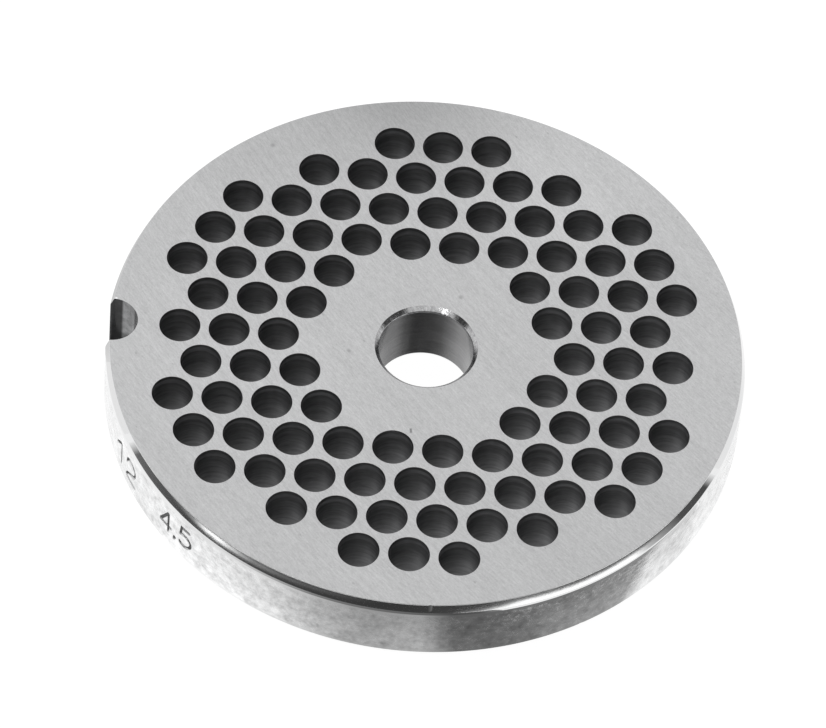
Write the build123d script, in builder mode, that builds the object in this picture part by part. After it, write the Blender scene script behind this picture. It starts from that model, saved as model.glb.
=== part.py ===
"""Perforated cutting plate of a size 12 meat grinder.

One steel disc, turned, bored, milled and drilled. +Z runs up through the centre bore, and the
origin is in the middle of the ring face that the plate rests on. The knife face is on top, and
the locating notch is at -X. All sizes are in millimetres.
"""

from build123d import *
import math
import os

os.makedirs("parts", exist_ok=True)

# ---------------------------------------------------------------------------
# Driving dimensions
# ---------------------------------------------------------------------------

# The turned disc
plate_diameter = 70.0  # the rim, which slides into the mouth of the grinder's barrel
plate_thickness = 8.4  # from the ring face up to the knife face
knife_break_width = 0.45  # edge break of the knife face, measured across the face
knife_break_drop = 1.2  # the same break, measured down the rim
ring_edge_break = 0.3  # small break at the foot of the rim

# The centre bore
bore_diameter = 10.3  # runs on the stud at the end of the feed screw
bore_mouth_chamfer = 0.5

# The locating notch
notch_width = 5.7  # takes the key inside the barrel
notch_depth = 3.4  # from the rim to the bottom of its round end
notch_mouth_rounding = 0.4  # on the two corners where the notch opens into the rim

# The cutting holes
cutting_hole_diameter = 4.5  # straight and sharp-edged, because the mouths do the cutting
hole_web = 0.9  # least metal between two neighbouring holes
hub_land_diameter = 24.0  # plain middle of both faces, for the hub of the knife
rim_land_width = 4.1  # plain ring inside the rim, for the lip of the barrel's nut

# ---------------------------------------------------------------------------
# Values worked out from them
# ---------------------------------------------------------------------------

rim_radius = plate_diameter / 2
bore_radius = bore_diameter / 2
notch_radius = notch_width / 2
notch_centre = Vector(notch_depth - notch_radius - rim_radius, 0)
hole_radius = cutting_hole_diameter / 2
hole_pitch = cutting_hole_diameter + hole_web
row_spacing = hole_pitch * math.sin(math.radians(60))
hub_land_radius = hub_land_diameter / 2
field_radius = rim_radius - rim_land_width


def has_room(hole_centre: Vector) -> bool:
    """Say whether a cutting hole here stays whole, off both lands and a web from the notch."""
    clears_hub = hole_centre.length - hole_radius >= hub_land_radius
    clears_rim = hole_centre.length + hole_radius <= field_radius
    notch_distance = (hole_centre - notch_centre).length
    clears_notch = notch_distance >= notch_radius + hole_web + hole_radius
    return clears_hub and clears_rim and clears_notch


def cutting_hole_centres() -> list[Vector]:
    """Lay a hexagonal lattice out from the bore and keep the places that have room for a hole."""
    reach = math.ceil(rim_radius / row_spacing)
    centres = []
    for row in range(-reach, reach + 1):
        row_shift = hole_pitch / 2 * (row % 2)
        for column in range(-reach, reach + 1):
            centre = Vector(column * hole_pitch + row_shift, row * row_spacing)
            if has_room(centre):
                centres.append(centre)
    return centres


# ---------------------------------------------------------------------------
# The plate
# ---------------------------------------------------------------------------

with BuildPart() as plate:
    # The disc is turned from its half section, with the radius along X and the height along Y.
    with BuildSketch(Plane.XZ) as half_section:
        with BuildLine():
            Polyline(
                (0, 0),
                (rim_radius - ring_edge_break, 0),
                (rim_radius, ring_edge_break),
                (rim_radius, plate_thickness - knife_break_drop),
                (rim_radius - knife_break_width, plate_thickness),
                (0, plate_thickness),
                close=True,
            )
        make_face()
    revolve(axis=Axis.Z)

    # The bore goes straight through, with a chamfer at each mouth.
    Hole(bore_radius)
    bore_mouths = plate.edges().filter_by(GeomType.CIRCLE).group_by(SortBy.RADIUS)[0]
    chamfer(bore_mouths, length=bore_mouth_chamfer)

    # The disc keeps what lies inside its outline from above. Shrinking the notched outline and
    # growing it back rounds the corners of the notch's mouth and leaves every other line alone.
    with BuildSketch() as notched_outline:
        Circle(rim_radius)
        with Locations(notch_centre):
            Circle(notch_radius, mode=Mode.SUBTRACT)
            Rectangle(
                rim_radius,
                notch_width,
                align=(Align.MAX, Align.CENTER),
                mode=Mode.SUBTRACT,
            )
        offset(amount=-notch_mouth_rounding)
        offset(amount=notch_mouth_rounding)
    extrude(amount=plate_thickness, mode=Mode.INTERSECT)

    # The cutting holes are drilled straight through, all of one size.
    with Locations(*cutting_hole_centres()):
        Hole(hole_radius)

plate.part.label = "grinder_plate"
export_step(plate.part, "parts/grinder_plate.step")
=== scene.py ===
"""The looks of a perforated cutting plate for a size 12 meat grinder.

The plate is one hardened steel disc: a turned blank with broken edges, ninety
drilled cutting holes on a hexagonal pitch, a chamfered bore for the worm's
stud, a milled locating notch and the plate's plain size numbers stamped in
the rim. Everything is in metres unless it says otherwise. The middle of the
ring face is the origin, the knife face is up, the notch is on the -X side and
the numbers are on the -Y side.
"""

import logging
import math
from collections.abc import Mapping, Sequence
from dataclasses import dataclass, field
from enum import Enum
from functools import reduce
from typing import Any

import bmesh
import bpy
import numpy as np
from bpy.types import ID, Material, Mesh, Node, NodeSocket, NodeTree, Object
from mathutils import Matrix, Vector


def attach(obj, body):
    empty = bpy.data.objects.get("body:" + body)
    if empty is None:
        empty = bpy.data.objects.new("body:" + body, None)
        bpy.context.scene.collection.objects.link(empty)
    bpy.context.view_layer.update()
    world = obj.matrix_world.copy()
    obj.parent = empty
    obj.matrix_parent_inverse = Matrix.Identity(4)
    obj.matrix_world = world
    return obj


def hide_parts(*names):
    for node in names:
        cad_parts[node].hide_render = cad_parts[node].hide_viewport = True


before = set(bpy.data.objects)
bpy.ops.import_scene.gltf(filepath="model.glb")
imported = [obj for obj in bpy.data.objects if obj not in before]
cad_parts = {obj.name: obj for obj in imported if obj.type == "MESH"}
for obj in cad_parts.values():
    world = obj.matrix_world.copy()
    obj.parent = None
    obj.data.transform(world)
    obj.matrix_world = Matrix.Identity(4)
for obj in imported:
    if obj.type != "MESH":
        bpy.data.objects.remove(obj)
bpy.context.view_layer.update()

log = logging.getLogger("grinder_plate")

MM = 0.001
CAD_NODE = "grinder_plate"
TOUCHING = 1e-9  # lengths closer than this are the same
ON_FACE = 1e-6  # a facet this near a face's height lies on that face
OVERRUN = 1.0 * MM  # how far a cutting tool runs past the plate
LEVEL = 0.9999  # a normal past this points straight up or down
WHITE = (1.0, 1.0, 1.0, 1.0)

Point = tuple[float, float]
Outline = list[Point]
Colour = tuple[float, float, float]


# ---- Small tools that the parts and finishes share ----


def smoothstep(value: np.ndarray, start: float, end: float) -> np.ndarray:
    """Ease each number from 0 at start to 1 at end."""
    t = np.clip((value - start) / (end - start), 0.0, 1.0)
    return t * t * (3.0 - 2.0 * t)


def soften(corners: Sequence[Point], radii: Sequence[float], steps: int) -> Outline:
    """Round the inner corners of an open outline.

    Args:
        corners: The outline's corners, in order.
        radii: A rounding radius for each corner; 0 leaves it sharp.
        steps: How many segments each rounding has.

    Returns:
        The outline with an arc in place of each rounded corner.
    """
    rounded: Outline = []
    for index, (corner, radius) in enumerate(zip(corners, radii)):
        if radius == 0 or index in (0, len(corners) - 1):
            rounded.append(corner)
            continue
        here = Vector(corner)
        back = (Vector(corners[index - 1]) - here).normalized()
        ahead = (Vector(corners[index + 1]) - here).normalized()
        half_angle = back.angle(ahead) / 2
        middle = here + (back + ahead).normalized() * (radius / math.sin(half_angle))
        start = here + back * (radius / math.tan(half_angle)) - middle
        end = here + ahead * (radius / math.tan(half_angle)) - middle
        sweep = math.pi - 2 * half_angle
        for step in range(steps + 1):
            t = step / steps
            spoke = (start * math.sin((1 - t) * sweep) + end * math.sin(t * sweep)) / math.sin(sweep)
            rounded.append(tuple(middle + spoke))
    return rounded


def mesh_of(points: Sequence[Sequence[float]], faces: Sequence[Sequence[int]], name: str) -> Mesh:
    """Make a mesh.

    Args:
        points: Its points.
        faces: Each face's points, by their places in that list.
        name: Its name.

    Returns:
        The mesh.
    """
    mesh = bpy.data.meshes.new(name)
    mesh.from_pydata(points, [], faces)
    mesh.update()
    return mesh


def grid(rows: int, columns: int, closed: bool, flipped: bool = False) -> list[list[int]]:
    """Join rows of points with faces.

    Args:
        rows: How many rows there are.
        columns: How many points each row has.
        closed: Whether each row is a ring.
        flipped: Whether the faces look the other way.

    Returns:
        Each face's points, by their places in the list of points.
    """
    faces: list[list[int]] = []
    for low in range(0, (rows - 1) * columns, columns):
        high = low + columns
        for column in range(columns if closed else columns - 1):
            beside = (column + 1) % columns
            corners = [low + column, low + beside, high + beside, high + column]
            faces.append([corners[0], *corners[:0:-1]] if flipped else corners)
    return faces


def skin(points: Sequence[Sequence[float]], columns: int, name: str) -> Mesh:
    """Skin a stack of rings of points and close both ends.

    Args:
        points: The points, ring after ring from the bottom to the top.
        columns: How many points each ring has, counter-clockwise.
        name: The mesh's name.

    Returns:
        The closed shell, its faces pointing outwards.
    """
    count = len(points)
    ends = [list(range(columns))[::-1], list(range(count - columns, count))]
    return mesh_of(points, grid(count // columns, columns, closed=True) + ends, name)


def turn(profile: Sequence[Point], angles: np.ndarray, name: str) -> Mesh:
    """Turn a profile about the Z axis into a closed shell with flat ends.

    Args:
        profile: Radius and height of each ring, from the bottom to the top.
        angles: Where each column of the shell stands, in radians, ascending.
        name: The mesh's name.

    Returns:
        The shell, its faces pointing outwards.
    """
    radius, height = np.array(profile).T
    flat = [np.outer(radius, np.cos(angles)), np.outer(radius, np.sin(angles))]
    points = np.stack([*flat, np.repeat(height[:, None], len(angles), 1)], axis=-1)
    return skin(points.reshape(-1, 3).tolist(), len(angles), name)


def prism(outline: Sequence[Point], bottom: float, top: float, name: str) -> Mesh:
    """Raise a closed plan outline, counter-clockwise, into a prism."""
    return skin([(x, y, z) for z in (bottom, top) for x, y in outline], len(outline), name)


def place(name: str, data: ID) -> Object:
    """Link a mesh, lamp or camera to the scene as an object at the origin.

    Args:
        name: Its name.
        data: The mesh, lamp or camera.

    Returns:
        The object.
    """
    made = bpy.data.objects.new(name, data)
    bpy.context.scene.collection.objects.link(made)
    return made


def settle(shaped: Object, name: str) -> Mesh:
    """Turn an object with live modifiers into a plain mesh.

    Args:
        shaped: The object, whose modifiers are removed afterwards.
        name: The plain mesh's name.

    Returns:
        The mesh with every modifier's result in it.
    """
    evaluated = shaped.evaluated_get(bpy.context.evaluated_depsgraph_get())
    plain = bpy.data.meshes.new_from_object(evaluated)
    plain.name = name
    shaped.modifiers.clear()
    return plain


def put_away(scrap: Object) -> None:
    """Delete a helper object and its mesh.

    Args:
        scrap: The helper object.
    """
    mesh = scrap.data
    bpy.data.objects.remove(scrap)
    bpy.data.meshes.remove(mesh)


def grey(tone: float) -> tuple[float, float, float, float]:
    """A neutral colour of this brightness."""
    return (tone, tone, tone, 1.0)


# ---- Node writing ----


class Wiring:
    """Adds and links the nodes of one tree."""

    def __init__(self, tree: NodeTree) -> None:
        """Start on a tree, which is emptied."""
        self.tree = tree
        tree.nodes.clear()

    def add(self, kind: str, inputs: Mapping[Any, Any] | None = None, **settings: Any) -> Node:
        """Add a node.

        Args:
            kind: The node's type name.
            inputs: What goes into each input: a socket to link or a constant.
            **settings: The node's own properties.

        Returns:
            The node.
        """
        node = self.tree.nodes.new(kind)
        for key, value in settings.items():
            setattr(node, key, value)
        for key, value in (inputs or {}).items():
            if isinstance(value, NodeSocket):
                self.tree.links.new(value, node.inputs[key])
            else:
                node.inputs[key].default_value = value
        return node

    def out(self, kind: str, inputs: Mapping[Any, Any] | None = None, **settings: Any) -> NodeSocket:
        """Add a node and return its first output."""
        return self.add(kind, inputs, **settings).outputs[0]

    def math(self, operation: str, *values: Any) -> NodeSocket:
        """Do one sum on numbers and return its result."""
        return self.out("ShaderNodeMath", dict(enumerate(values)), operation=operation)

    def plus(self, value: Any, added: Any) -> NodeSocket:
        """A number and another."""
        return self.math("ADD", value, added)

    def minus(self, value: Any, taken: Any) -> NodeSocket:
        """A number less another."""
        return self.math("SUBTRACT", value, taken)

    def ratio(self, value: Any, divisor: Any) -> NodeSocket:
        """A number divided by another."""
        return self.math("DIVIDE", value, divisor)

    def product(self, *values: Any) -> NodeSocket:
        """Two or more numbers multiplied."""
        return reduce(lambda left, right: self.math("MULTIPLY", left, right), values)

    def scaled(self, value: Any, factor: Any, start: Any) -> NodeSocket:
        """A start, and on top of it a number times a factor."""
        return self.math("MULTIPLY_ADD", value, factor, start)


class SurfaceWiring(Wiring):
    """Writes the nodes of one finish."""

    def __init__(self, name: str) -> None:
        """Start a new material of this name.

        Args:
            name: The material's name.
        """
        self.material = bpy.data.materials.new(name)
        self.material.use_nodes = True
        super().__init__(self.material.node_tree)
        self.where = self.add("ShaderNodeTexCoord").outputs["Object"]
        self.x, self.y, self.z = self.add("ShaderNodeSeparateXYZ", {0: self.where}).outputs

    def point(self, x: Any, y: Any, z: Any = 0.0) -> NodeSocket:
        """Join three numbers into a place."""
        return self.out("ShaderNodeCombineXYZ", {0: x, 1: y, 2: z})

    def noise(self, at: NodeSocket, size: float, detail: float = 2.0, rough: float = 0.5) -> NodeSocket:
        """Cloudy noise whose clouds are about this many metres across."""
        inputs = {"Vector": at, "Scale": 1.0 / size, "Detail": detail, "Roughness": rough}
        return self.out("ShaderNodeTexNoise", inputs)

    def length(self, *parts: Any) -> NodeSocket:
        """The length of a step with these parts."""
        return self.add("ShaderNodeVectorMath", {0: self.point(*parts)}, operation="LENGTH").outputs["Value"]

    def around(self, radius: float) -> NodeSocket:
        """How far round a wall of this radius a place lies."""
        return self.product(self.math("ARCTAN2", self.y, self.x), radius)

    def ease(self, value: Any, start: float, end: float, low: float = 0.0, high: float = 1.0) -> NodeSocket:
        """Ease from low at start to high at end."""
        inputs = {"Value": value, "From Min": start, "From Max": end, "To Min": low, "To Max": high}
        return self.out("ShaderNodeMapRange", inputs, interpolation_type="SMOOTHSTEP")

    def between(self, value: Any, low: float, high: float, soft: float) -> NodeSocket:
        """1 from low to high and 0 outside, with soft ends."""
        rise = self.ease(value, low - soft / 2, low + soft / 2)
        return self.product(rise, self.ease(value, high - soft / 2, high + soft / 2, 1.0, 0.0))

    def total(self, start: float, *terms: tuple[Any, float]) -> NodeSocket:
        """Add weighted noises, each taken about its middle of 0.5.

        Args:
            start: The sum's value where every noise is at its middle.
            *terms: Pairs of a noise and its weight.

        Returns:
            The sum.
        """
        result: Any = start
        for value, weight in terms:
            result = self.plus(result, self.scaled(value, weight, -0.5 * weight))
        return result

    def steel(self, base: Colour, light: NodeSocket, rough: Any, relief: Any, depth: float) -> Material:
        """Finish the tree as bare steel.

        Args:
            base: Base colour.
            light: A factor that makes it lighter or darker.
            rough: Roughness.
            relief: The pattern that tilts the surface.
            depth: That pattern's depth in metres.

        Returns:
            The material.
        """
        colour = self.out("ShaderNodeVectorMath", {0: base, "Scale": light}, operation="SCALE")
        normal = self.out("ShaderNodeBump", {"Height": relief, "Distance": depth, "Strength": 1.0})
        inputs = {"Base Color": colour, "Roughness": rough, "Metallic": 1.0, "Normal": normal}
        return self.close(self.out("ShaderNodeBsdfPrincipled", inputs))

    def printed(self, colour: Any, strength: Any, cover: NodeSocket) -> Material:
        """Finish the tree as a glowing print on clear film.

        Args:
            colour: The print's colour.
            strength: How strongly it glows.
            cover: 1 where the film is printed and 0 where it is clear.

        Returns:
            The material.
        """
        glow = self.out("ShaderNodeEmission", {"Color": colour, "Strength": strength})
        clear = self.out("ShaderNodeBsdfTransparent")
        return self.close(self.out("ShaderNodeMixShader", {0: cover, 1: clear, 2: glow}))

    def close(self, shader: NodeSocket) -> Material:
        """Send a shader to the material's output."""
        self.add("ShaderNodeOutputMaterial", {"Surface": shader})
        return self.material


# ---- Finishes ----


@dataclass(frozen=True)
class Tone:
    """A round place on a face that is lighter or darker than the rest: a patch of painted light or shade, or
    a small pit.

    Attributes:
        x: Its middle, in millimetres.
        y: Its middle, in millimetres.
        reach: How far from the middle it fades out, in millimetres.
        change: How much lighter it is at the middle, as a share.
    """

    x: float
    y: float
    reach: float
    change: float


@dataclass(frozen=True)
class GroundFaceFinish:
    """Both faces: surface ground in long shallow arcs, fine and satin.

    The grinding wheel's lines are arcs about a point far outside the plate.
    """

    colour: Colour = (0.528, 0.530, 0.534)
    roughness: float = 0.33
    wheel_centre: Point = (220 * MM, 190 * MM)
    wheel_reach: float = 290 * MM
    line_width: float = 0.17 * MM
    line_depth: float = 0.009 * MM
    tones: tuple[Tone, ...] = (
        # painted shade and painted reflection: broad patches painted darker at the back left, and others
        # lighter and darker across the face
        Tone(-6.0, 38.0, 20.0, -0.30),
        Tone(-20.0, 25.0, 10.0, -0.08),
        Tone(15.0, 21.0, 15.0, 0.08),
        Tone(-20.0, -4.0, 22.0, 0.06),
        Tone(18.0, -30.0, 26.0, -0.05),
        *(Tone(-0.93 + 0.02 * tick, -11.44 - 0.19 * tick, 0.22, -0.6) for tick in range(3)),
        # painted glints: two small bright spots at the notch's corner
        Tone(-34.22, 2.93, 0.26, 0.8),
        Tone(-34.50, 3.14, 0.18, 0.5),
        Tone(3.3, 7.2, 0.42, -0.30),
        Tone(-8.4, -1.5, 0.40, -0.28),
        Tone(-18.9, 26.3, 0.45, -0.30),
        Tone(24.5, 6.0, 0.40, -0.25),
    )

    def material(self) -> Material:
        """Build the satin ground steel.

        Returns:
            The material.
        """
        w = SurfaceWiring("ground_face")
        dx, dy = w.minus(w.x, self.wheel_centre[0]), w.minus(w.y, self.wheel_centre[1])
        reach = w.length(dx, dy)
        swing = w.math("ARCTAN2", w.product(dy, -1.0), w.product(dx, -1.0))
        along = w.product(swing, self.wheel_reach)
        side = w.product(w.z, 3.0)

        def lines(stretch: float, width: float, detail: float, rough: float = 0.6) -> NodeSocket:
            """Lines this many times longer than they are wide."""
            return w.noise(w.point(reach, w.ratio(along, stretch), side), width, detail, rough)

        hair = lines(5.0, self.line_width, 2.0)
        grit = lines(2.2, self.line_width * 0.6, 1.0)
        long = lines(34.0, self.line_width * 2.4, 3.0)
        passes = lines(60.0, 3.2 * MM, 1.0)
        cloud = w.noise(w.where, 15 * MM, 2.0)
        speck = w.ease(lines(1.8, 0.42 * MM, 0.0, 0.5), 0.83, 0.88, 1.0, 0.80)
        light = w.total(1.0, (hair, 0.44), (grit, 0.34), (long, 0.22), (passes, 0.05), (cloud, 0.06))
        # the tones put painted light, painted shade and painted glints, along with the pits, into the face's
        # colour
        for tone in self.tones:
            away = w.length(w.minus(w.x, tone.x * MM), w.minus(w.y, tone.y * MM))
            light = w.product(light, w.ease(away, 0.0, tone.reach * MM, 1.0 + tone.change, 1.0))
        rough = w.total(self.roughness, (hair, 0.10), (cloud, 0.05))
        relief = w.total(0.5, (hair, 0.6), (grit, 0.35), (long, 0.7))
        return w.steel(self.colour, w.product(light, speck), rough, relief, self.line_depth)


@dataclass(frozen=True)
class PolishedRimFinish:
    """The rim and its edge breaks: turned, then buffed over a faint grain."""

    colour: Colour = (0.775, 0.777, 0.78)
    roughness: float = 0.16
    break_roughness: float = 0.06
    radius: float = 35 * MM
    wall_low: float = 0.5 * MM
    wall_high: float = 6.7 * MM
    grain: float = 0.50 * MM
    grain_depth: float = 0.031 * MM
    dirt: float = 0.87

    def material(self) -> Material:
        """Build the buffed steel, with dark dirt kept in the stamped numbers.

        Returns:
            The material.
        """
        w = SurfaceWiring("polished_rim")
        around = w.around(self.radius)
        turned = w.noise(w.point(w.ratio(around, 45.0), w.z), 0.10 * MM, 2.0)
        bands = w.noise(w.point(w.ratio(around, 30.0), w.z, 5.0), 0.7 * MM, 1.0)
        rub = w.noise(w.point(w.ratio(around, 2.5), w.z, 2.0), 0.55 * MM, 3.0, 0.65)
        grain = w.noise(w.where, self.grain, 3.0, 0.65)
        patch = w.noise(w.where, 4.5 * MM, 2.0)
        etch = w.noise(w.where, 1.2 * MM, 2.0, 0.6)
        on_wall = w.between(w.z, self.wall_low, self.wall_high, 0.7 * MM)
        sunk = w.ease(w.minus(self.radius, w.length(w.x, w.y)), 0.04 * MM, 0.10 * MM)
        dirt = w.product(sunk, w.between(w.z, self.wall_low, self.wall_high, 0.1 * MM))
        mottle = w.total(0.0, (grain, 0.65), (etch, 0.95), (rub, 0.12), (patch, 0.30), (bands, 0.06))
        light = w.scaled(mottle, on_wall, w.total(1.0, (turned, 0.06)))
        light = w.product(light, w.scaled(dirt, -self.dirt, 1.0))
        uneven = w.total(self.roughness, (grain, 0.8), (rub, 0.2), (etch, 0.3))
        rougher = w.minus(w.math("MAXIMUM", uneven, self.break_roughness), self.break_roughness)
        rough = w.scaled(dirt, 0.35, w.scaled(rougher, on_wall, self.break_roughness))
        cut = w.total(0.5, (grain, 1.0), (rub, 0.8), (bands, 0.5), (turned, 0.10))
        relief = w.product(cut, w.scaled(on_wall, 0.985, 0.015))
        return w.steel(self.colour, light, rough, relief, self.grain_depth)


@dataclass(frozen=True)
class DrilledHoleFinish:
    """The walls of the cutting holes: as drilled, with feed rings, with painted shade just below the
    knife-face mouth and a painted highlight band under it.
    """

    colour: Colour = (0.37, 0.372, 0.38)
    roughness: float = 0.34
    top: float = 8.4 * MM
    painted_shade_depth: float = 0.50 * MM
    ring_pitch: float = 0.42 * MM
    ring_depth: float = 0.006 * MM

    def material(self) -> Material:
        """Build the dark drilled steel with its rings.

        Returns:
            The material.
        """
        w = SurfaceWiring("drilled_holes")
        level = w.plus(w.z, w.product(w.noise(w.where, 6 * MM, 1.0), 0.8 * MM))
        rings = w.noise(w.point(w.ratio(w.x, 10.0), w.ratio(w.y, 10.0), level), self.ring_pitch, 2.0, 0.6)
        fine = w.noise(w.point(w.ratio(w.x, 6.0), w.ratio(w.y, 6.0), w.z), 0.12 * MM, 1.0)
        down = w.minus(self.top, w.z)
        edge = w.plus(down, w.product(w.noise(w.where, 3.4 * MM, 1.0), 0.35 * MM))
        # painted shade: the wall is painted darker in a band just below the mouth, and a painted highlight
        # makes the band under it lighter
        collar = w.ease(edge, self.painted_shade_depth, self.painted_shade_depth + 0.28 * MM, 0.90, 1.0)
        bright = w.between(edge, self.painted_shade_depth + 0.20 * MM, self.painted_shade_depth + 0.75 * MM, 0.4 * MM)
        light = w.total(1.0, (rings, 1.15), (fine, 0.5))
        light = w.product(light, collar, w.scaled(bright, 0.62, 1.0))
        rough = w.total(self.roughness, (rings, 0.12), (fine, 0.08))
        relief = w.total(0.5, (rings, 1.0), (fine, 0.3))
        return w.steel(self.colour, light, rough, relief, self.ring_depth)


@dataclass(frozen=True)
class BoredFinish:
    """The bore's wall: bored true, with faint feed rings and rub marks."""

    colour: Colour = (0.52, 0.52, 0.525)
    roughness: float = 0.2
    radius: float = 5.15 * MM
    ring_depth: float = 0.004 * MM

    def material(self) -> Material:
        """Build the bored steel.

        Returns:
            The material.
        """
        w = SurfaceWiring("bored_wall")
        around = w.around(self.radius)
        rings = w.noise(w.point(w.ratio(around, 12.0), w.z), 0.35 * MM, 3.0, 0.6)
        smear = w.noise(w.point(around, w.ratio(w.z, 4.0), 1.0), 1.4 * MM, 2.0)
        light = w.total(1.0, (rings, 0.45), (smear, 0.25))
        # painted light: the bore's wall is painted lighter low down and darker towards the knife face
        light = w.product(light, w.ease(w.z, 3.2 * MM, 5.6 * MM, 1.12, 0.94))
        rough = w.total(self.roughness, (rings, 0.10), (smear, 0.08))
        return w.steel(self.colour, light, rough, rings, self.ring_depth)


@dataclass(frozen=True)
class ScrapedChamferFinish:
    """The bore's chamfers: countersunk, with chatter across the slope."""

    colour: Colour = (0.44, 0.44, 0.445)
    roughness: float = 0.17
    radius: float = 5.4 * MM
    chatter_depth: float = 0.016 * MM

    def material(self) -> Material:
        """Build the countersunk steel with its chatter.

        Returns:
            The material.
        """
        w = SurfaceWiring("scraped_chamfer")
        around = w.around(self.radius)
        chatter = w.noise(w.point(around, w.ratio(w.z, 1.5)), 0.30 * MM, 3.0, 0.65)
        broad = w.noise(w.point(around, 0.0, 2.0), 1.3 * MM, 1.0)
        light = w.total(1.0, (chatter, 1.5), (broad, 0.45))
        rough = w.total(self.roughness, (chatter, 0.12))
        relief = w.total(0.5, (chatter, 1.0), (broad, 0.8))
        return w.steel(self.colour, light, rough, relief, self.chatter_depth)


@dataclass(frozen=True)
class MilledNotchFinish:
    """The locating notch: milled, with blotches, and with painted shade: a dark base colour, darker still
    towards its mouth.
    """

    # painted shade: the base colour is set far darker than the rest of the steel
    colour: Colour = (0.205, 0.206, 0.21)
    roughness: float = 0.16
    painted_shade_to: float = -33.6 * MM
    blotch_depth: float = 0.008 * MM

    def material(self) -> Material:
        """Build the milled steel.

        Returns:
            The material.
        """
        w = SurfaceWiring("milled_notch")
        blotch = w.noise(w.where, 0.8 * MM, 3.0, 0.6)
        tool = w.noise(w.point(w.x, w.y, w.ratio(w.z, 14.0)), 0.25 * MM, 2.0)
        light = w.total(1.0, (blotch, 1.5), (tool, 0.45))
        # painted shade: the wall is painted darker still towards the notch's mouth
        light = w.product(light, w.ease(w.x, self.painted_shade_to, self.painted_shade_to + 0.3 * MM, 0.17, 1.0))
        rough = w.total(self.roughness, (blotch, 0.15))
        relief = w.total(0.5, (blotch, 1.0), (tool, 0.6))
        return w.steel(self.colour, light, rough, relief, self.blotch_depth)


# ---- The plate ----


@dataclass(frozen=True)
class Stroke:
    """One bent line of a stamped numeral, in millimetres on the stamp."""

    points: tuple[Point, ...]
    width: float = 0.42


def arc(middle: Point, reach: Point, start: float, end: float, steps: int) -> tuple[Point, ...]:
    """Points along an oval arc, in degrees counter-clockwise from the right."""
    turns = (math.radians(start + (end - start) * step / steps) for step in range(steps + 1))
    return tuple((middle[0] + reach[0] * math.cos(t), middle[1] + reach[1] * math.sin(t)) for t in turns)


STAMP_HEIGHT = 3.60


class Numeral(Enum):
    """The stamps in the set, drawn STAMP_HEIGHT high from the baseline up."""

    ONE = (Stroke(((-0.30, 2.38), (1.10, 3.60), (1.10, 0.0))),)
    TWO = (
        Stroke(
            arc((1.22, 2.42), (1.14, 1.18), 172, -38, 14)
            + ((0.86, 0.94), (0.28, 0.52), (0.0, 0.0), (2.35, 0.0))
        ),
    )
    FOUR = (Stroke(((1.62, 0.0), (1.62, 3.60), (0.0, 1.00), (2.18, 1.00))),)
    FIVE = (
        Stroke(
            ((1.92, 3.60), (0.44, 3.60), (0.24, 2.08))
            + arc((1.02, 1.16), (1.17, 1.16), 118, -138, 16)
        ),
    )
    POINT = (Stroke(((0.10, -0.02), (0.22, 0.30)), 0.46),)


@dataclass(frozen=True)
class StampedNumeral:
    """One numeral struck in the rim.

    Attributes:
        shape: Which numeral.
        azimuth: Where its left edge is, in degrees from -Y towards +X.
        foot: Height of its baseline, in millimetres.
        height: How tall a full numeral of this stamp is, in millimetres.
    """

    shape: Numeral
    azimuth: float
    foot: float
    height: float

    def depth_at(self, around: np.ndarray, up: np.ndarray, radius: float) -> np.ndarray:
        """How far from the stamp's centre line each point is.

        Args:
            around: Points' azimuth in degrees.
            up: Points' height.
            radius: The rim's radius.

        Returns:
            The distance to the nearest line less the stamp's half width.
        """
        scale = self.height * MM / STAMP_HEIGHT
        across = np.radians(around - self.azimuth) * radius / scale
        rise = (up - self.foot * MM) / scale
        nearest = np.full(around.shape, 1.0)
        for stroke in self.shape.value:
            corners = np.array(stroke.points)
            for a, b in zip(corners[:-1], corners[1:]):
                run = b - a
                t = ((across - a[0]) * run[0] + (rise - a[1]) * run[1]) / (run @ run)
                t = np.clip(t, 0.0, 1.0)
                gap = np.hypot(across - a[0] - t * run[0], rise - a[1] - t * run[1])
                nearest = np.minimum(nearest, gap * scale - stroke.width * MM / 2)
        return nearest


@dataclass(frozen=True)
class Nick:
    """A small knock on the rim: its azimuth, and its measures in millimetres."""

    azimuth: float
    height: float
    width: float
    depth: float


@dataclass
class RimMarks:
    """The size numbers struck in the rim, and its few nicks."""

    numerals: tuple[StampedNumeral, ...] = (
        StampedNumeral(Numeral.ONE, -67.60, 1.75, 3.30),
        StampedNumeral(Numeral.TWO, -63.35, 1.75, 3.40),
        StampedNumeral(Numeral.FOUR, -50.45, 2.36, 3.00),
        StampedNumeral(Numeral.POINT, -46.65, 2.18, 3.00),
        StampedNumeral(Numeral.FIVE, -45.15, 2.42, 3.00),
    )
    nicks: tuple[Nick, ...] = (
        Nick(4.6, 8.20, 0.24, 0.06),
        Nick(61.5, 6.85, 0.30, 0.07),
        Nick(33.0, 0.40, 0.40, 0.04),
        Nick(141.0, 8.15, 0.26, 0.04),
    )
    depth: float = 0.17 * MM
    slope: float = 0.11 * MM
    lip: float = 0.022 * MM
    lip_reach: float = 0.28 * MM
    first: float = -69.5
    last: float = -39.5
    low: float = 1.3 * MM
    high: float = 6.4 * MM

    def push(self, around: np.ndarray, up: np.ndarray, radius: float) -> np.ndarray:
        """How far the stamps and nicks move the rim's surface outwards.

        Args:
            around: Azimuth of each point of the rim, in degrees.
            up: Height of each point.
            radius: The rim's radius.

        Returns:
            The radial move of each point; a stamp's is negative.
        """
        gap = np.full(around.shape, 1.0)
        for numeral in self.numerals:
            gap = np.minimum(gap, numeral.depth_at(around, up, radius))
        sunk = 1.0 - smoothstep(gap, -self.slope, self.slope * 0.35)
        proud = smoothstep(gap, 0.0, self.slope) * (1.0 - smoothstep(gap, self.slope, self.lip_reach))
        move = self.lip * proud - self.depth * sunk
        for nick in self.nicks:
            away = np.hypot(np.radians(around - nick.azimuth) * radius, up - nick.height * MM)
            move = move - nick.depth * MM * (1.0 - smoothstep(away, 0.0, nick.width * MM))
        return move


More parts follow.
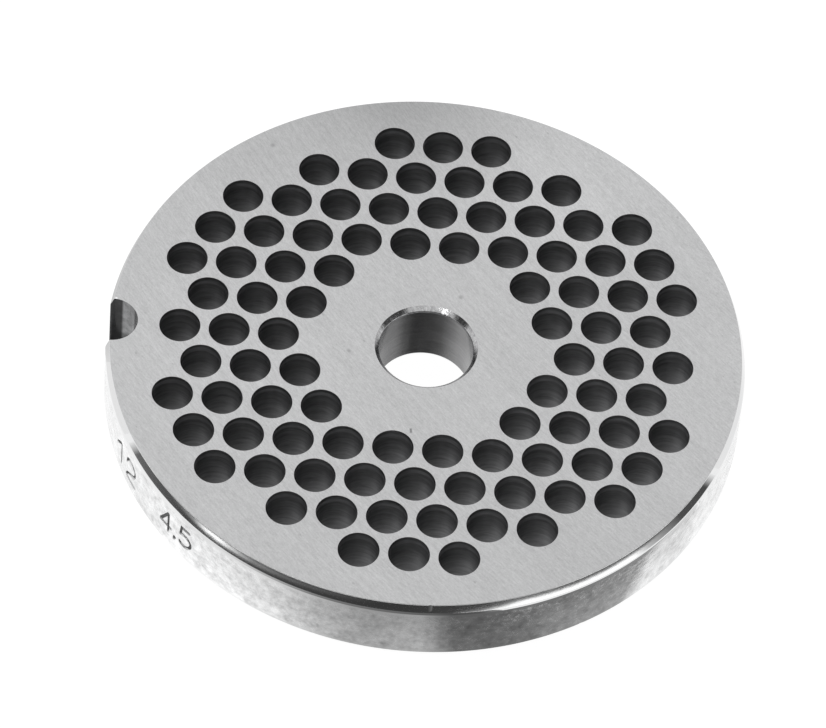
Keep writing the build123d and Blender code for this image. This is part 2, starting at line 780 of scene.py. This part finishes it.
@dataclass
class TurnedBlank:
    """The disc before drilling: faced, turned and with both edges broken."""

    radius: float = 35 * MM
    thickness: float = 8.4 * MM
    knife_break_width: float = 0.45 * MM
    knife_break_drop: float = 1.2 * MM
    knife_break_flat: float = 0.5 * MM
    ring_break: float = 0.3 * MM
    ring_rounds: Point = (0.05 * MM, 0.09 * MM)
    corner_round: float = 0.13 * MM
    break_round: float = 1.1 * MM
    wall_rings: Point = (0.06 * MM, 0.3 * MM)
    marks: RimMarks = field(default_factory=RimMarks)
    fine_step: float = 0.064 * MM
    column_step: float = 1.5

    def profile(self) -> Outline:
        """The rim's section, from the ring face up to the knife face.

        Returns:
            Radius and height of each ring.
        """
        rim, top = self.radius, self.thickness
        corners = [
            (rim - self.ring_break - 0.3 * MM, 0.0),
            (rim - self.ring_break, 0.0),
            (rim, self.ring_break),
            (rim, top - self.knife_break_drop),
            (rim - self.knife_break_width, top),
            (rim - self.knife_break_width - 0.4 * MM, top),
        ]
        radii = [0.0, *self.ring_rounds, self.break_round, self.corner_round, 0.0]
        rounded = self.keep_flat(soften(corners, radii, 6))
        wall = [p for p in rounded if abs(p[0] - rim) < TOUCHING]
        low, high = wall[0][1], wall[-1][1]
        rows = int(round((self.marks.high - self.marks.low) / self.fine_step))
        heights = [low + gap for gap in self.wall_rings] + [high - gap for gap in self.wall_rings]
        heights += list(np.linspace(self.marks.low, self.marks.high, rows + 1))
        split = rounded.index(wall[-1])
        return rounded[:split] + [(rim, h) for h in sorted(heights)] + rounded[split:]

    def keep_flat(self, outline: Outline) -> Outline:
        """Add a ring just inside each end of the knife break's flat.

        Args:
            outline: The rounded section.

        Returns:
            The section, whose shading now stays true across the flat.
        """
        for at, ((r0, h0), (r1, h1)) in enumerate(zip(outline, outline[1:]), 1):
            if r1 < r0 and h1 > h0 and math.hypot(r1 - r0, h1 - h0) > self.knife_break_flat:
                inside = [(r0 + (r1 - r0) * t, h0 + (h1 - h0) * t) for t in (0.04, 0.96)]
                return outline[:at] + inside + outline[at:]
        return outline

    def columns(self) -> np.ndarray:
        """Azimuth of each column of the rim, in degrees from -Y towards +X.

        Returns:
            The azimuths, ascending.
        """
        fine = math.degrees(self.fine_step / self.radius)
        wanted = list(np.arange(-180.0, 180.0, self.column_step))
        spans = [(self.marks.first, self.marks.last)]
        spans += [(nick.azimuth - 1.0, nick.azimuth + 1.0) for nick in self.marks.nicks]
        for first, last in spans:
            wanted = [a for a in wanted if not first - fine < a < last + fine]
            wanted += list(np.arange(first, last + fine / 2, fine))
        return np.array(sorted(wanted))

    def mesh(self) -> Mesh:
        """Turn the blank and strike its marks.

        Returns:
            The blank.
        """
        azimuths = self.columns()
        shell = turn(self.profile(), np.radians(azimuths) - math.pi / 2, "turned_blank")
        count = len(shell.vertices)
        points = np.empty(count * 3)
        shell.vertices.foreach_get("co", points)
        points = points.reshape(-1, 3)
        around = np.tile(azimuths, count // len(azimuths))
        radial = np.hypot(points[:, 0], points[:, 1])
        rim = radial > self.radius - self.knife_break_width - 0.1 * MM
        move = np.where(rim, self.marks.push(around, points[:, 2], self.radius), 0.0)
        points[:, :2] *= ((radial + move) / radial)[:, None]
        shell.vertices.foreach_set("co", points.ravel())
        shell.update()
        log.info("turned blank: %d columns, %d faces", len(azimuths), len(shell.polygons))
        return shell


@dataclass
class CuttingHoles:
    """The ninety cutting holes on a hexagonal pitch between two plain lands."""

    diameter: float = 4.5 * MM
    web: float = 0.9 * MM
    hub_land_diameter: float = 24.0 * MM
    rim_land: float = 4.1 * MM
    blank: TurnedBlank = field(default_factory=TurnedBlank)
    segments: int = 56

    def sizes(self) -> dict[str, float | int]:
        """The drill tree's inputs by name.

        Returns:
            The inputs, lengths as floats and counts as whole numbers.
        """
        pitch = self.diameter + self.web
        field_radius = self.blank.radius - self.rim_land
        across = 2 * math.ceil(field_radius / pitch) + 3
        return {
            "Hole Diameter": self.diameter,
            "Pitch": pitch,
            "Hub Land Radius": self.hub_land_diameter / 2,
            "Field Radius": field_radius,
            "Plate Thickness": self.blank.thickness,
            "Overrun": OVERRUN,
            "Columns": across,
            "Rows": across,
            "Segments": self.segments,
        }

    def tree(self) -> tuple[NodeTree, dict[str, str]]:
        """Write the Geometry Nodes tree that sets out the drills.

        Returns:
            The tree, and each input's identifier by its name.
        """
        group = bpy.data.node_groups.new("cutting_hole_drills", "GeometryNodeTree")
        kinds = {name: "Int" if isinstance(size, int) else "Float" for name, size in self.sizes().items()}
        sockets: dict[str, str] = {}
        for name, kind in (kinds | {"Finish": "Material"}).items():
            made = group.interface.new_socket(name, in_out="INPUT", socket_type=f"NodeSocket{kind}")
            sockets[name] = made.identifier
        group.interface.new_socket("Geometry", in_out="OUTPUT", socket_type="NodeSocketGeometry")
        w = Wiring(group)
        given = w.add("NodeGroupInput").outputs
        pitch = given["Pitch"]
        row_gap = w.product(pitch, math.sin(math.radians(60)))
        hole_radius = w.ratio(given["Hole Diameter"], 2.0)
        spread = {
            "Size X": w.product(w.minus(given["Columns"], 1.0), pitch),
            "Size Y": w.product(w.minus(given["Rows"], 1.0), row_gap),
            "Vertices X": given["Columns"],
            "Vertices Y": given["Rows"],
        }
        grid = w.add("GeometryNodeMeshGrid", spread).outputs["Mesh"]
        here = w.out("GeometryNodeInputPosition")
        ahead = w.add("ShaderNodeSeparateXYZ", {0: here}).outputs["Y"]
        row = w.math("ABSOLUTE", w.math("ROUND", w.ratio(ahead, row_gap)))
        shift = w.product(w.math("MODULO", row, 2.0), w.ratio(pitch, 2.0))
        offset = w.out("ShaderNodeCombineXYZ", {"X": shift})
        lattice = w.out("GeometryNodeSetPosition", {"Geometry": grid, "Offset": offset})
        away = w.add("ShaderNodeVectorMath", {0: here}, operation="LENGTH").outputs["Value"]
        lands = {
            "LESS_THAN": w.plus(given["Hub Land Radius"], hole_radius),
            "GREATER_THAN": w.minus(given["Field Radius"], hole_radius),
        }
        on_land = [
            w.out("FunctionNodeCompare", {0: away, 1: limit}, operation=test) for test, limit in lands.items()
        ]
        waste = w.out("FunctionNodeBooleanMath", dict(enumerate(on_land)), operation="OR")
        centres = w.out("GeometryNodeDeleteGeometry", {"Geometry": lattice, "Selection": waste})
        size = {
            "Vertices": given["Segments"],
            "Radius": hole_radius,
            "Depth": w.scaled(given["Overrun"], 2.0, given["Plate Thickness"]),
        }
        drill = w.add("GeometryNodeMeshCylinder", size).outputs["Mesh"]
        middle = w.out("ShaderNodeCombineXYZ", {"Z": w.ratio(given["Plate Thickness"], 2.0)})
        raised = w.out("GeometryNodeTransform", {"Geometry": drill, "Translation": middle})
        drills = w.out("GeometryNodeInstanceOnPoints", {"Points": centres, "Instance": raised})
        real = w.out("GeometryNodeRealizeInstances", {0: drills})
        dressed = w.out("GeometryNodeSetMaterial", {"Geometry": real, "Material": given["Finish"]})
        w.add("NodeGroupOutput", {0: dressed})
        return group, sockets

    def drills(self, finish: Material) -> Mesh:
        """Set out the drills that cut the holes, as one plain mesh.

        Args:
            finish: The finish of the holes' walls.

        Returns:
            The drills.
        """
        host = place("drill_host", bpy.data.meshes.new("drill_host"))
        group, sockets = self.tree()
        modifier = host.modifiers.new("drills", "NODES")
        modifier.node_group = group
        for name, value in self.sizes().items():
            modifier[sockets[name]] = value
        modifier[sockets["Finish"]] = finish
        mesh = settle(host, "drills")
        put_away(host)
        log.info("cutting holes: %d", len(mesh.vertices) // (2 * self.segments))
        return mesh


@dataclass
class CentreBore:
    """The bore for the worm's stud, with a chamfer at each mouth."""

    diameter: float = 10.3 * MM
    chamfer: float = 0.5 * MM
    edge_round: float = 0.30 * MM
    edge_ring: float = 0.05 * MM
    blank: TurnedBlank = field(default_factory=TurnedBlank)

    def cutter(self) -> Mesh:
        """The boring and countersinking tools as one shape.

        Returns:
            The cutter, a little longer than the plate is thick.
        """
        radius, top = self.diameter / 2, self.blank.thickness
        mouth = radius + self.chamfer + OVERRUN
        corners = [
            (mouth, -OVERRUN),
            (radius, self.chamfer),
            (radius, top - self.chamfer),
            (mouth, top + OVERRUN),
        ]
        profile = soften(corners, [0.0, self.edge_round, self.edge_round, 0.0], 5)
        wall = [index for index, point in enumerate(profile) if abs(point[0] - radius) < TOUCHING]
        low, high = profile[wall[0]][1], profile[wall[-1]][1]
        collar = [(radius, h) for h in (low + self.edge_ring, high - self.edge_ring)]
        profile = profile[: wall[0] + 1] + collar + profile[wall[-1] :]
        return turn(profile, np.radians(np.arange(0.0, 360.0, 3.0)), "bore_cutter")


@dataclass
class LocatingNotch:
    """The round-bottomed notch that keys the plate in the grinder's mouth."""

    width: float = 5.7 * MM
    depth: float = 3.4 * MM
    mouth_round: float = 0.2 * MM
    blank: TurnedBlank = field(default_factory=TurnedBlank)

    def cutter(self) -> Mesh:
        """The end mill's path, rounded over at the notch's mouth.

        Returns:
            The cutter, a little longer than the plate is thick.
        """
        radius, rim = self.width / 2, self.blank.radius
        middle = self.depth - radius - rim
        lip = rim - self.mouth_round
        lip_y = radius + self.mouth_round
        lip_x = -math.sqrt(lip * lip - lip_y * lip_y)
        end = math.degrees(math.atan2(lip_y, lip_x)) - 360.0 + 2.0
        bottom = [
            (middle + radius * math.cos(t), radius * math.sin(t))
            for t in np.radians(np.linspace(0.0, 90.0, 25))
        ]
        rounding = [
            (lip_x + self.mouth_round * math.cos(t), lip_y + self.mouth_round * math.sin(t))
            for t in np.radians(np.linspace(-90.0, end, 9))
        ]
        half = bottom + rounding[1:] + [(-rim - 2.0 * MM, lip_y + 0.35 * MM)]
        mirrored = [(x, -y) for x, y in half[:0:-1]]
        return prism(half + mirrored, -OVERRUN, self.blank.thickness + OVERRUN, "notch_cutter")


class Region(Enum):
    """The plate's surfaces, by how each was made."""

    FACE = 0
    RIM = 1
    HOLE = 2
    BORE = 3
    CHAMFER = 4
    NOTCH = 5


@dataclass
class GrinderPlate:
    """The whole plate, cut from its blank and dressed region by region.

    An edge is crisp past sharp_angle, or on the stamps past struck_angle. The
    tilts tell a facet's region by which way it looks, and the rest by where it
    lies: corner_from is a share of the radius, and notch_room of the notch's
    depth and width.
    """

    blank: TurnedBlank = field(default_factory=TurnedBlank)
    holes: CuttingHoles = field(default_factory=CuttingHoles)
    bore: CentreBore = field(default_factory=CentreBore)
    notch: LocatingNotch = field(default_factory=LocatingNotch)
    sharp_angle: float = 38.0
    struck_angle: float = 65.0
    corner_tilt: float = 0.66
    chamfer_tilt: float = 0.12
    notch_tilt: float = 0.97
    corner_from: float = 0.95
    rim_reach: float = 0.35 * MM
    notch_room: Point = (1.3, 0.6)

    def finishes(self) -> dict[Region, Material]:
        """A finish for each region.

        Returns:
            The materials by region.
        """
        made = {
            Region.FACE: GroundFaceFinish(),
            Region.RIM: PolishedRimFinish(),
            Region.HOLE: DrilledHoleFinish(),
            Region.BORE: BoredFinish(),
            Region.CHAMFER: ScrapedChamferFinish(),
            Region.NOTCH: MilledNotchFinish(),
        }
        return {region: finish.material() for region, finish in made.items()}

    def region_of(self, middle: Vector, normal: Vector) -> Region:
        """Which surface a facet belongs to.

        Args:
            middle: The facet's centre.
            normal: The facet's outward normal.

        Returns:
            Its region.
        """
        rim = self.blank.radius
        away = math.hypot(middle.x, middle.y)
        on_face = min(abs(middle.z), abs(middle.z - self.blank.thickness)) < ON_FACE
        on_corner = normal.z > self.corner_tilt and away > rim * self.corner_from
        if on_corner or (on_face and abs(normal.z) > LEVEL):
            return Region.FACE
        if away < self.bore.diameter:
            return Region.CHAMFER if abs(normal.z) > self.chamfer_tilt else Region.BORE
        flat = max(math.hypot(normal.x, normal.y), TOUCHING)
        outward = (middle.x * normal.x + middle.y * normal.y) / (away * flat)
        deep, wide = self.notch.depth * self.notch_room[0], self.notch.width * self.notch_room[1]
        by_notch = middle.x < -rim + deep and abs(middle.y) < wide
        if by_notch and outward < self.notch_tilt:
            return Region.NOTCH
        on_rim = away > rim - self.blank.knife_break_width - self.rim_reach
        return Region.RIM if on_rim else Region.HOLE

    def cut(self, hole_finish: Material) -> Mesh:
        """Take the holes, the bore and the notch out of the blank.

        Args:
            hole_finish: The finish of the holes' walls.

        Returns:
            The cut plate.
        """
        body = place("plate_blank", self.blank.mesh())
        tools = bmesh.new()
        for mesh in (self.holes.drills(hole_finish), self.bore.cutter(), self.notch.cutter()):
            tools.from_mesh(mesh)
            bpy.data.meshes.remove(mesh)
        cutters = place("cutters", bpy.data.meshes.new("cutters"))
        tools.to_mesh(cutters.data)
        tools.free()
        subtract = body.modifiers.new("cut", "BOOLEAN")
        subtract.operation = "DIFFERENCE"
        subtract.solver = "MANIFOLD"
        subtract.object = cutters
        mesh = settle(body, "cutting_plate")
        put_away(body)
        put_away(cutters)
        return mesh

    def dress(self, mesh: Mesh, finishes: Mapping[Region, Material]) -> None:
        """Give each facet its finish, and keep the machined edges crisp.

        Args:
            mesh: The cut plate.
            finishes: The finish of each region.
        """
        mesh.materials.clear()
        for region in Region:
            mesh.materials.append(finishes[region])
        shape = bmesh.new()
        shape.from_mesh(mesh)
        for facet in shape.faces:
            facet.smooth = True
            facet.material_index = self.region_of(facet.calc_center_median(), facet.normal).value
        sharp, struck = math.radians(self.sharp_angle), math.radians(self.struck_angle)
        for edge in shape.edges:
            sides = {f.material_index for f in edge.link_faces}
            height = (edge.verts[0].co.z + edge.verts[1].co.z) / 2
            on_marks = sides == {Region.RIM.value} and self.blank.marks.low < height < self.blank.marks.high
            flats = {abs(f.normal.z) > LEVEL for f in edge.link_faces}
            edge.smooth = len(flats) == 1 and edge.calc_face_angle(0.0) <= (struck if on_marks else sharp)
        shape.to_mesh(mesh)
        shape.free()

    def build(self) -> Object:
        """Make the plate and hand it to the frame.

        Returns:
            The finished piece.
        """
        finishes = self.finishes()
        mesh = self.cut(finishes[Region.HOLE])
        self.dress(mesh, finishes)
        piece = place("cutting_plate", mesh)
        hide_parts(CAD_NODE)
        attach(piece, "root")
        triangles = sum(len(p.vertices) - 2 for p in mesh.polygons)
        log.info("cutting plate: %d triangles", triangles)
        return piece


# ---- The studio ----


def heading(azimuth: float, elevation: float) -> Vector:
    """A direction from azimuth (degrees from -Y towards +X) and elevation."""
    a, e = math.radians(azimuth), math.radians(elevation)
    return Vector((math.sin(a) * math.cos(e), -math.cos(a) * math.cos(e), math.sin(e)))


def only_in_steel(card: Object) -> Object:
    """Let a studio card show in reflections alone.

    Args:
        card: The card.

    Returns:
        The same card.
    """
    for ray in ("camera", "diffuse", "shadow", "transmission", "volume_scatter"):
        setattr(card, f"visible_{ray}", False)
    return card


@dataclass(frozen=True)
class SightLine:
    """The line on the floor that one band of the rim shows at its middle.

    Attributes:
        near: Its radius where the band faces sideways, in millimetres.
        reach: How much further out it runs straight ahead of the camera.
        spread: The azimuth in degrees at which half of that reach is left.
    """

    near: float
    reach: float = 0.0
    spread: float = 66.0

    def radius(self, azimuth: float) -> float:
        """The line's radius at an azimuth in degrees."""
        return self.near * MM + self.reach * MM / (1.0 + (azimuth / self.spread) ** 2)

    def wire(self, w: SurfaceWiring, azimuth: NodeSocket) -> NodeSocket:
        """The same radius as a node."""
        share = w.ratio(azimuth, self.spread)
        return w.plus(w.ratio(self.reach * MM, w.scaled(share, share, 1.0)), self.near * MM)


@dataclass(frozen=True)
class HoleLight:
    """The spots of light that fall through the cutting holes on to a card.

    Attributes:
        pitch: The holes' pitch.
        shift: How far each spot lies from the middle of its hole.
        strength: How much a spot stands out, as a share.
    """

    pitch: float = 5.4 * MM
    shift: Point = (-1.3 * MM, 0.9 * MM)
    strength: float = 1.45

    def wire(self, w: SurfaceWiring) -> NodeSocket:
        """A factor that peaks in each spot.

        Args:
            w: The tree to write in.

        Returns:
            The factor.
        """
        wave = 2 * math.pi / (self.pitch * math.sin(math.radians(60)))
        x, y = w.minus(w.x, self.shift[0]), w.minus(w.y, self.shift[1])
        factor: Any = 1.0
        for turned in (30.0, 90.0, 150.0):
            a = math.radians(turned)
            run = w.scaled(x, wave * math.cos(a), w.product(y, wave * math.sin(a)))
            factor = w.scaled(w.math("COSINE", run), self.strength / 3, factor)
        return factor


@dataclass(frozen=True)
class FloorCard:
    """A card lying on the floor round the plate, seen in the steel alone; its print is painted shade and
    painted light for the steel to reflect.

    Attributes:
        name: The card's name.
        inner: Its inner edge, in millimetres out from its line.
        outer: Its outer edge, in millimetres out from its line.
        tones: Brightness by azimuth in degrees, ascending.
        line: The line that it follows; none stands for the plate's axis.
        slant: Degrees that the tones shift per millimetre out from the line.
        slant_from: The azimuth past which they do.
        slant_to: The azimuth past which they no longer do.
        fade: Share of brightness gained per millimetre out from the line.
        light: The spots of light on it, if any.
        height: How high above the floor it lies, in millimetres.
        soft: Width of its soft inner and outer edges, in millimetres.
    """

    name: str
    inner: float
    outer: float
    tones: Mapping[float, float]
    line: SightLine = SightLine(0.0)
    slant: float = 0.0
    slant_from: float = -180.0
    slant_to: float = 180.0
    fade: float = 0.0
    light: HoleLight | None = None
    height: float = 0.02
    soft: float = 1.0

    def colour(self, w: SurfaceWiring, azimuth: NodeSocket, out: NodeSocket) -> NodeSocket:
        """Write the tones along the card.

        Args:
            w: The tree to write in.
            azimuth: Azimuth in degrees.
            out: How far out from the line, in metres.

        Returns:
            The colour.
        """
        first, last = min(self.tones), max(self.tones)
        begun = w.ease(azimuth, self.slant_from, self.slant_from + 12.0)
        ended = w.ease(azimuth, self.slant_to, self.slant_to + 12.0, 1.0, 0.0)
        leaning = w.minus(azimuth, w.product(out, self.slant / MM, begun, ended))
        share = w.out("ShaderNodeMapRange", {"Value": leaning, "From Min": first, "From Max": last})
        ramp = w.add("ShaderNodeValToRGB", {0: share})
        bands = ramp.color_ramp
        bands.interpolation = "LINEAR"
        while len(bands.elements) < len(self.tones):
            bands.elements.new(0.5)
        for element, (where, tone) in zip(bands.elements, self.tones.items()):
            element.position = (where - first) / (last - first)
            element.color = grey(tone)
        return ramp.outputs[0]

    def print(self) -> Material:
        """Print the card.

        Returns:
            The material.
        """
        inner, outer, soft = self.inner * MM, self.outer * MM, self.soft * MM
        w = SurfaceWiring(self.name)
        azimuth = w.math("DEGREES", w.math("ARCTAN2", w.x, w.product(w.y, -1.0)))
        out = w.minus(w.length(w.x, w.y), self.line.wire(w, azimuth))
        near_line = w.math("MINIMUM", w.math("MAXIMUM", out, -2.0 * MM), 2.0 * MM)
        strength = w.scaled(near_line, self.fade / MM, 1.0)
        if self.light:
            strength = w.product(strength, self.light.wire(w))
        rise = w.ease(out, inner, inner + soft)
        cover = w.product(rise, w.ease(out, outer - soft, outer, 1.0, 0.0))
        return w.printed(self.colour(w, azimuth, out), strength, cover)

    def build(self) -> Object:
        """Lay the card.

        Returns:
            The card.
        """
        first, last = min(self.tones), max(self.tones)
        steps = max(8, int((last - first) / 3))
        points = []
        for azimuth in np.linspace(first, last, steps + 1).tolist():
            line = self.line.radius(azimuth)
            for edge in (self.inner, self.outer):
                spoke = heading(azimuth, 0.0) * max(line + edge * MM, 0.0)
                points.append((spoke.x, spoke.y, self.height * MM))
        mesh = mesh_of(points, grid(steps + 1, 2, closed=False), self.name)
        mesh.materials.append(self.print())
        return only_in_steel(place(self.name, mesh))


@dataclass(frozen=True)
class StandingCard:
    """A curved card standing off from the plate, seen in the steel.

    Attributes:
        name: The card's name.
        azimuths: Its first and last azimuth, in degrees.
        elevations: Its lower and upper edge, in degrees above the plate.
        tone: Its brightness.
        soft: How wide its soft edges are, in degrees.
        distance: How far off it stands.
    """

    name: str
    azimuths: tuple[float, float]
    elevations: tuple[float, float]
    tone: float
    soft: float = 5.0
    distance: float = 0.55

    def print(self) -> Material:
        """Print the card.

        Returns:
            The material.
        """
        w = SurfaceWiring(self.name)
        middle = math.radians(sum(self.azimuths) / 2)
        side = w.plus(w.product(w.x, math.cos(middle)), w.product(w.y, math.sin(middle)))
        ahead = w.minus(w.product(w.x, math.sin(middle)), w.product(w.y, math.cos(middle)))
        azimuth = w.math("DEGREES", w.math("ARCTAN2", side, ahead))
        run = w.math("SQRT", w.plus(w.product(w.x, w.x), w.product(w.y, w.y)))
        elevation = w.math("DEGREES", w.math("ARCTAN2", w.z, run))
        half = (self.azimuths[1] - self.azimuths[0]) / 2 - self.soft / 2
        low, high = self.elevations[0] + self.soft / 2, self.elevations[1] - self.soft / 2
        wide = w.between(azimuth, -half, half, self.soft)
        tall = w.between(elevation, low, high, self.soft)
        return w.printed(grey(self.tone), 1.0, w.product(wide, tall))

    def build(self) -> Object:
        """Stand the card.

        Returns:
            The card.
        """
        across, up = 17, 9
        points = [
            tuple(heading(azimuth, elevation) * self.distance)
            for azimuth in np.linspace(*self.azimuths, across).tolist()
            for elevation in np.linspace(*self.elevations, up).tolist()
        ]
        mesh = mesh_of(points, grid(across, up, closed=False, flipped=True), self.name)
        mesh.materials.append(self.print())
        return only_in_steel(place(self.name, mesh))


@dataclass(frozen=True)
class Lamp:
    """A soft lamp aimed at the plate."""

    name: str
    azimuth: float
    elevation: float
    distance: float
    size: float
    power: float
    in_steel: bool = True

    def build(self) -> Object:
        """Hang the lamp.

        Returns:
            The lamp.
        """
        data = bpy.data.lights.new(self.name, "AREA")
        data.shape = "DISK"
        data.size = self.size
        data.energy = self.power
        lamp = place(self.name, data)
        away = heading(self.azimuth, self.elevation)
        lamp.location = away * self.distance
        lamp.rotation_euler = away.to_track_quat("Z", "Y").to_euler()
        lamp.visible_glossy = self.in_steel
        return lamp


BREAK_LINE = SightLine(35.0, 32.4)
STRIP_UP = (2.5, 19.0)
SHADE_UP = (10.0, 42.0)


@dataclass
class Studio:
    """The pale floor, the soft light, the cards and the camera."""

    floor_size: float = 4.0
    floor_ring: float = 50 * MM
    floor_drop: float = 0.04 * MM
    floor_opening: float = 5.45 * MM
    floor_glow: float = 0.93
    floor_paint: float = 0.14
    sky_light: float = 0.62
    camera_place: tuple[float, float, float] = (-3.340 * MM, -474.126 * MM, 625.101 * MM)
    camera_right: tuple[float, float, float] = (0.99623, 0.06726, 0.05474)
    camera_up: tuple[float, float, float] = (-0.08668, 0.79153, 0.60496)
    lens: float = 310.7
    sensor: float = 36.0
    sight: Point = (0.02, 20.0)
    lamps: tuple[Lamp, ...] = (
        Lamp("key_lamp", -125.0, 58.0, 0.9, 0.5, 3.4, in_steel=False),
        Lamp("glint_lamp", -31.0, 37.0, 0.6, 0.05, 0.09),
    )
    # painted shade and light: the floor cards show in the steel alone, and their tones stand in for the
    # floor's shadows and lit patches round and under the plate
    cards: tuple[FloorCard | StandingCard, ...] = (
        # painted shadow under the plate, with painted spots of light under the cutting holes
        FloorCard(
            "under_plate_card", 5.9, 34.9,
            {-180: 0.145, -90: 0.12, 30: 0.185, 90: 0.18, 180: 0.145},
            light=HoleLight(), height=-0.02, soft=0.3,
        ),
        FloorCard(
            "deep_bore_card", 0.0, 45.0,
            {
                -180: 0.5, -140: 0.55, -90: 0.42, -40: 0.12, -5: 0.06,
                40: 0.04, 65: 0.12, 90: 0.28, 140: 0.36, 180: 0.4,
            },
            height=-30.0,
        ),
        FloorCard(
            "middle_shade_card", 41.0, 64.3,
            {
                -51: 1.0, -43: 0.93, -37: 0.77, -31.5: 0.55, -26: 0.41, -20: 0.27,
                -14: 0.21, -2: 0.175, 6: 0.14, 10.5: 0.09, 16: 0.11, 20: 0.3,
            },
            height=0.0,
        ),
        FloorCard(
            "near_shade_card", -2.2, 5.25,
            {
                -50: 1.10, -36: 1.06, -30: 0.99, -25: 0.87, -20: 0.74, -15: 0.60, -10: 0.475,
                -5: 0.435, 3.5: 0.49, 9.5: 0.16, 16: 0.17, 22: 0.20, 28: 0.28, 34: 0.32,
                44: 0.37, 46.5: 0.42, 50: 0.92, 54: 0.90, 61: 0.86, 68: 0.98,
            },
            line=SightLine(36.75), slant=3.0, slant_from=24.0, fade=-0.07, soft=0.5,
        ),
        FloorCard(
            "far_shade_card", -4.5, 16.0,
            {
                -54.5: 0.08, -30: 0.045, 0: 0.045, 22.5: 0.08, 26: 1.55, 53: 1.55,
                57.5: 0.62, 62.5: 0.30, 67: 0.09, 75.5: 0.08, 78.5: 1.0,
            },
            line=BREAK_LINE, slant=4.0, slant_from=2.0, slant_to=34.0, height=0.03,
        ),
        FloorCard(
            "left_shade_card", -2.6, 16.0,
            {-74: 1.0, -71: 0.16, -53: 0.06},
            line=BREAK_LINE, height=0.04, soft=0.5,
        ),
        FloorCard(
            "streak_card", 0.5, 2.2,
            {
                -62: 0.08, -56.5: 0.20, -52.5: 0.42, -49.5: 1.3, -47.5: 1.8, -45: 1.8,
                -42.5: 1.15, -39.5: 0.7, -36: 0.38, -28: 0.21, -16: 0.12, -6: 0.05,
            },
            line=BREAK_LINE, height=0.05, soft=0.35,
        ),
        FloorCard(
            "lens_line_card", 0.1, 17.0,
            {20: 0.09, 66: 0.09},
            line=SightLine(34.1, 34.0), height=0.05, soft=0.3,
        ),
        FloorCard(
            "left_grey_card", 36.0, 46.0,
            {-150: 1.0, -125: 0.66, -98: 0.66, -92: 0.85},
            height=0.06, soft=0.4,
        ),
        FloorCard(
            "left_floor_card", 40.5, 60.0,
            {-180: 0.8, -128: 0.82, -100: 0.95, -76: 0.97},
            height=0.05, soft=2.0,
        ),
        FloorCard(
            "right_floor_card", 40.5, 60.0,
            {80: 0.97, 100: 0.95, 128: 0.82, 180: 0.8},
            height=0.05, soft=2.0,
        ),
        FloorCard("under_notch_card", 31.0, 34.98, {-97.5: 0.42, -83: 0.42}, height=-0.01, soft=0.05),
        StandingCard("front_card", (-50.0, 46.0), (-1.0, 33.0), 0.18, 6.0),
        StandingCard("right_card", (44.0, 104.0), SHADE_UP, 0.07),
        StandingCard("left_card", (-86.0, -50.0), SHADE_UP, 0.06),
        StandingCard("right_strip", (44.0, 84.0), STRIP_UP, 1.6, 3.0, 0.53),
        StandingCard("left_strip", (-92.0, -80.0), STRIP_UP, 1.6, 3.0, 0.53),
    )

    def floor(self) -> Object:
        """Lay the pale floor, which keeps the plate's soft shadow.

        It is open under the bore, so that the bore shows clear white.

        Returns:
            The floor.
        """
        spokes = [heading(float(a), 0.0) for a in np.arange(0.0, 360.0, 5.0)]
        rings = (self.floor_opening, self.floor_ring, self.floor_size / 2)
        points = [(s.x * r, s.y * r, -self.floor_drop) for r in rings for s in spokes]
        mesh = mesh_of(points, grid(len(rings), len(spokes), closed=True, flipped=True), "floor")
        w = SurfaceWiring("pale_floor")
        paint = w.out("ShaderNodeBsdfDiffuse", {"Color": grey(self.floor_paint)})
        strength = self.shown(w, self.floor_glow, 0.0)
        glow = w.out("ShaderNodeEmission", {"Color": WHITE, "Strength": strength})
        mesh.materials.append(w.close(w.out("ShaderNodeAddShader", {0: paint, 1: glow})))
        floor = place("floor", mesh)
        return floor

    @staticmethod
    def shown(w: Wiring, seen: float, unseen: float) -> NodeSocket:
        """One strength for what the camera, steel and glass see, another for light.

        Args:
            w: The tree to write in.
            seen: Strength for camera, glossy and transmission rays.
            unseen: Strength for all other rays.

        Returns:
            The strength.
        """
        path = w.add("ShaderNodeLightPath").outputs
        bounced = w.math("MAXIMUM", path["Is Glossy Ray"], path["Is Transmission Ray"])
        return w.scaled(w.math("MAXIMUM", path["Is Camera Ray"], bounced), seen - unseen, unseen)

    def surround(self) -> None:
        """Set the white surround."""
        world = bpy.data.worlds.new("surround")
        world.use_nodes = True
        w = Wiring(world.node_tree)
        strength = self.shown(w, 1.0, self.sky_light)
        glow = w.out("ShaderNodeBackground", {"Color": WHITE, "Strength": strength})
        w.add("ShaderNodeOutputWorld", {"Surface": glow})
        bpy.context.scene.world = world

    def camera(self) -> Object:
        """Set up the long lens, looking down on the knife face.

        Returns:
            The camera.
        """
        data = bpy.data.cameras.new("camera")
        data.lens = self.lens
        data.sensor_width = self.sensor
        data.clip_start, data.clip_end = self.sight
        camera = place("camera", data)
        right = Vector(self.camera_right).normalized()
        up = Vector(self.camera_up)
        up = (up - right * up.dot(right)).normalized()
        turned = Matrix((right, up, right.cross(up))).transposed().to_4x4()
        camera.matrix_world = Matrix.Translation(Vector(self.camera_place)) @ turned
        bpy.context.scene.camera = camera
        return camera

    def build(self) -> None:
        """Set up everything round the plate."""
        bpy.context.scene.view_settings.view_transform = "Standard"
        self.surround()
        self.floor()
        for part in (*self.lamps, *self.cards):
            part.build()
        self.camera()
        log.info("studio: %d lamps, %d cards", len(self.lamps), len(self.cards))


def main() -> None:
    """Build the plate and its studio."""
    logging.basicConfig(level=logging.INFO, format="%(name)s: %(message)s")
    GrinderPlate().build()
    Studio().build()


if __name__ == "__main__":
    main()
